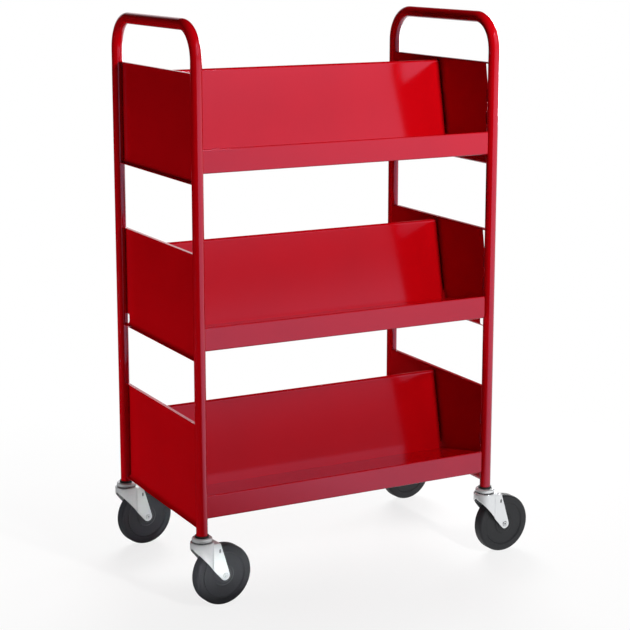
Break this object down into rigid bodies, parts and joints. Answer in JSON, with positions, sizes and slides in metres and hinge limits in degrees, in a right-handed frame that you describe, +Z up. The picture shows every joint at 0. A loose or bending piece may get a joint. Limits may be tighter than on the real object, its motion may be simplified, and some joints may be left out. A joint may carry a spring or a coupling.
{
  "type": "book cart",
  "caption": "Two-sided steel book cart: sloped V shelves with central dividers and end panels between bent-tube end frames, on swivel casters.",
  "frame": {"origin": "on the floor, midway between the four posts, under the swivel axes' centre", "axes": "+X along the shelves, +Y from the front side to the back side, +Z up"},
  "size_m": [0.7982, 0.4495, 1.161],
  "materials": {
    "red_enamel": "glossy powder coat",
    "zinc_plate": "bright zinc plate",
    "race_steel": "oiled steel",
    "black_wheel": "smooth moulded, satin",
    "black_socket": "moulded, satin"
  },
  "bodies": {
    "cart": {"end_frame_left": "red_enamel", "bottom_end_panel_left": "red_enamel", "middle_end_panel_left": "red_enamel", "top_end_panel_left": "red_enamel", "end_frame_right": "red_enamel", "bottom_end_panel_right": "red_enamel", "middle_end_panel_right": "red_enamel", "top_end_panel_right": "red_enamel", "bottom_shelf": "red_enamel", "middle_shelf": "red_enamel", "top_shelf": "red_enamel", "socket_front_left": "black_socket", "stem_front_left": "zinc_plate", "upper_race_front_left": "zinc_plate", "ball_ring_front_left": "race_steel", "socket_front_right": "black_socket", "stem_front_right": "zinc_plate", "upper_race_front_right": "zinc_plate", "ball_ring_front_right": "race_steel", "socket_back_left": "black_socket", "stem_back_left": "zinc_plate", "upper_race_back_left": "zinc_plate", "ball_ring_back_left": "race_steel", "socket_back_right": "black_socket", "stem_back_right": "zinc_plate", "upper_race_back_right": "zinc_plate", "ball_ring_back_right": "race_steel"},
    "fork_front_left": {"fork_front_left": "zinc_plate", "bushing_front_left": "race_steel", "axle_front_left": "zinc_plate", "washers_front_left": "zinc_plate"},
    "wheel_front_left": {"wheel_front_left": "black_wheel"},
    "fork_front_right": {"fork_front_right": "zinc_plate", "bushing_front_right": "race_steel", "axle_front_right": "zinc_plate", "washers_front_right": "zinc_plate"},
    "wheel_front_right": {"wheel_front_right": "black_wheel"},
    "fork_back_left": {"fork_back_left": "zinc_plate", "bushing_back_left": "race_steel", "axle_back_left": "zinc_plate", "washers_back_left": "zinc_plate"},
    "wheel_back_left": {"wheel_back_left": "black_wheel"},
    "fork_back_right": {"fork_back_right": "zinc_plate", "bushing_back_right": "race_steel", "axle_back_right": "zinc_plate", "washers_back_right": "zinc_plate"},
    "wheel_back_right": {"wheel_back_right": "black_wheel"}
  },
  "joints": [
    {"name": "swivel_front_left", "type": "hinge", "parent": "cart", "child": "fork_front_left", "pos_m": [-0.334, -0.2, 0.132], "axis": [0, 0, 1], "continuous": true},
    {"name": "roll_front_left", "type": "hinge", "parent": "fork_front_left", "child": "wheel_front_left", "pos_m": [-0.2907, -0.19583, 0.0625], "axis": [-0.0958, 0.9954, 0], "continuous": true},
    {"name": "swivel_front_right", "type": "hinge", "parent": "cart", "child": "fork_front_right", "pos_m": [0.334, -0.2, 0.132], "axis": [0, 0, 1], "continuous": true},
    {"name": "roll_front_right", "type": "hinge", "parent": "fork_front_right", "child": "wheel_front_right", "pos_m": [0.37747, -0.19833, 0.0625], "axis": [-0.0384, 0.9993, 0], "continuous": true},
    {"name": "swivel_back_left", "type": "hinge", "parent": "cart", "child": "fork_back_left", "pos_m": [-0.334, 0.2, 0.132], "axis": [0, 0, 1], "continuous": true},
    {"name": "roll_back_left", "type": "hinge", "parent": "fork_back_left", "child": "wheel_back_left", "pos_m": [-0.29089, 0.20583, 0.0625], "axis": [-0.134, 0.991, 0], "continuous": true},
    {"name": "swivel_back_right", "type": "hinge", "parent": "cart", "child": "fork_back_right", "pos_m": [0.334, 0.2, 0.132], "axis": [0, 0, 1], "continuous": true},
    {"name": "roll_back_right", "type": "hinge", "parent": "fork_back_right", "child": "wheel_back_right", "pos_m": [0.37733, 0.20379, 0.0625], "axis": [-0.0872, 0.9962, 0], "continuous": true}
  ]
}
